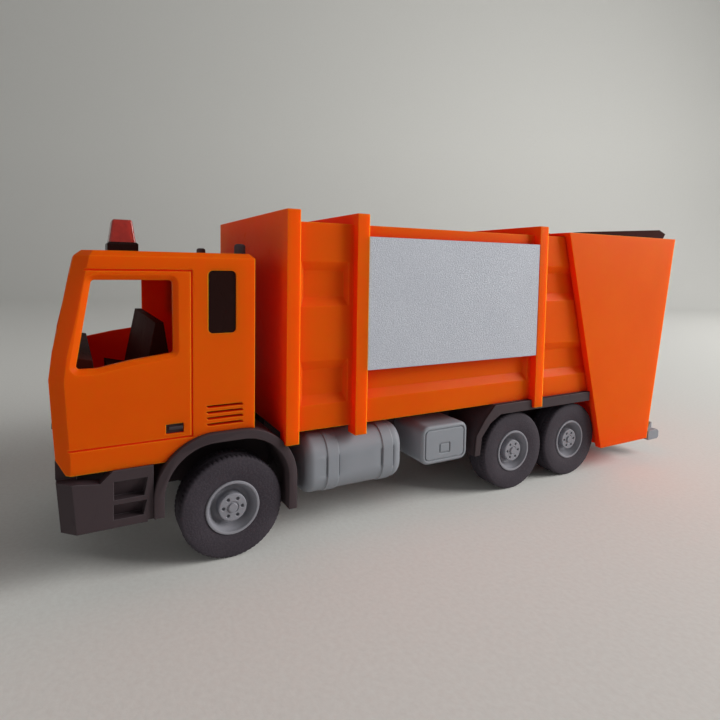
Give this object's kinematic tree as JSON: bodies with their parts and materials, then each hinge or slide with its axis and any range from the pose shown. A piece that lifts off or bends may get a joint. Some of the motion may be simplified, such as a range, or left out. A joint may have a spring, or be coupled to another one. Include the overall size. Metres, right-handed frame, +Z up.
{
  "type": "toy refuse collection truck",
  "caption": "Toy rear-loading garbage truck with a hollow cab, ribbed load box, hinged tailgate, roof guard frame, bin lift and rolling axles.",
  "frame": {"origin": "centre of the bounding box, on the floor", "axes": "front faces -Y, left side is +X, +Z up"},
  "size_m": [0.0612, 0.1952, 0.082],
  "materials": {
    "orange_plastic": "satin moulded plastic",
    "dark_plastic": "dark grey moulded plastic",
    "black_plastic": "black moulded plastic",
    "grey_plastic": "light grey moulded plastic",
    "rim_grey": "light grey moulded plastic",
    "tyre": "dark soft plastic",
    "sign_white": "white board",
    "red_lens": "translucent red plastic",
    "clear_lens": "clear plastic",
    "steel": "plain steel"
  },
  "bodies": {
    "truck": {"beacon_base": "black_plastic", "beacon_lens": "red_lens", "cab_interior": "dark_plastic", "cab_shell": "orange_plastic", "chassis_frame": "dark_plastic", "container_body": "orange_plastic", "door_handle_left": "black_plastic", "door_handle_right": "black_plastic", "front_bumper": "dark_plastic", "front_fender_left": "dark_plastic", "front_fender_right": "dark_plastic", "front_grille": "dark_plastic", "fuel_tank_left": "grey_plastic", "fuel_tank_right": "grey_plastic", "head_lamps": "clear_lens", "quarter_window_left": "black_plastic", "quarter_window_right": "black_plastic", "rear_mudguard_left": "dark_plastic", "rear_mudguard_right": "dark_plastic", "roof_pegs": "black_plastic", "sign_panel_left": "sign_white", "sign_panel_right": "sign_white", "tool_box_left": "grey_plastic", "tool_box_right": "grey_plastic"},
    "tailgate": {"tailgate_hopper": "orange_plastic", "tailgate_pins": "steel", "guard_pins": "steel", "lift_base": "grey_plastic", "lift_pin": "steel"},
    "guard": {"guard_frame": "black_plastic"},
    "lift": {"bin_lift": "grey_plastic"},
    "front_wheels": {"axle_front": "steel", "rim_front_left": "rim_grey", "rim_front_right": "rim_grey", "tyre_front_left": "tyre", "tyre_front_right": "tyre"},
    "middle_wheels": {"axle_middle": "steel", "rim_middle_left": "rim_grey", "rim_middle_right": "rim_grey", "tyre_middle_left": "tyre", "tyre_middle_right": "tyre"},
    "rear_wheels": {"axle_rear": "steel", "rim_rear_left": "rim_grey", "rim_rear_right": "rim_grey", "tyre_rear_left": "tyre", "tyre_rear_right": "tyre"}
  },
  "joints": [
    {"name": "front_axle_roll", "type": "hinge", "parent": "truck", "child": "front_wheels", "pos_m": [0, -0.06175, 0.0118], "axis": [1, 0, 0], "continuous": true},
    {"name": "middle_axle_roll", "type": "hinge", "parent": "truck", "child": "middle_wheels", "pos_m": [0, 0.02445, 0.0118], "axis": [1, 0, 0], "continuous": true},
    {"name": "rear_axle_roll", "type": "hinge", "parent": "truck", "child": "rear_wheels", "pos_m": [0, 0.04935, 0.0118], "axis": [1, 0, 0], "continuous": true},
    {"name": "tailgate_hinge", "type": "hinge", "parent": "truck", "child": "tailgate", "pos_m": [0, 0.04305, 0.0791], "axis": [1, 0, 0], "range_deg": [0, 70]},
    {"name": "guard_hinge", "type": "hinge", "parent": "tailgate", "child": "guard", "pos_m": [0, 0.05305, 0.08], "axis": [1, 0, 0], "range_deg": [0, 75]},
    {"name": "bin_lift_hinge", "type": "hinge", "parent": "tailgate", "child": "lift", "pos_m": [0, 0.08895, 0.0084], "axis": [1, 0, 0], "range_deg": [0, 60]}
  ]
}
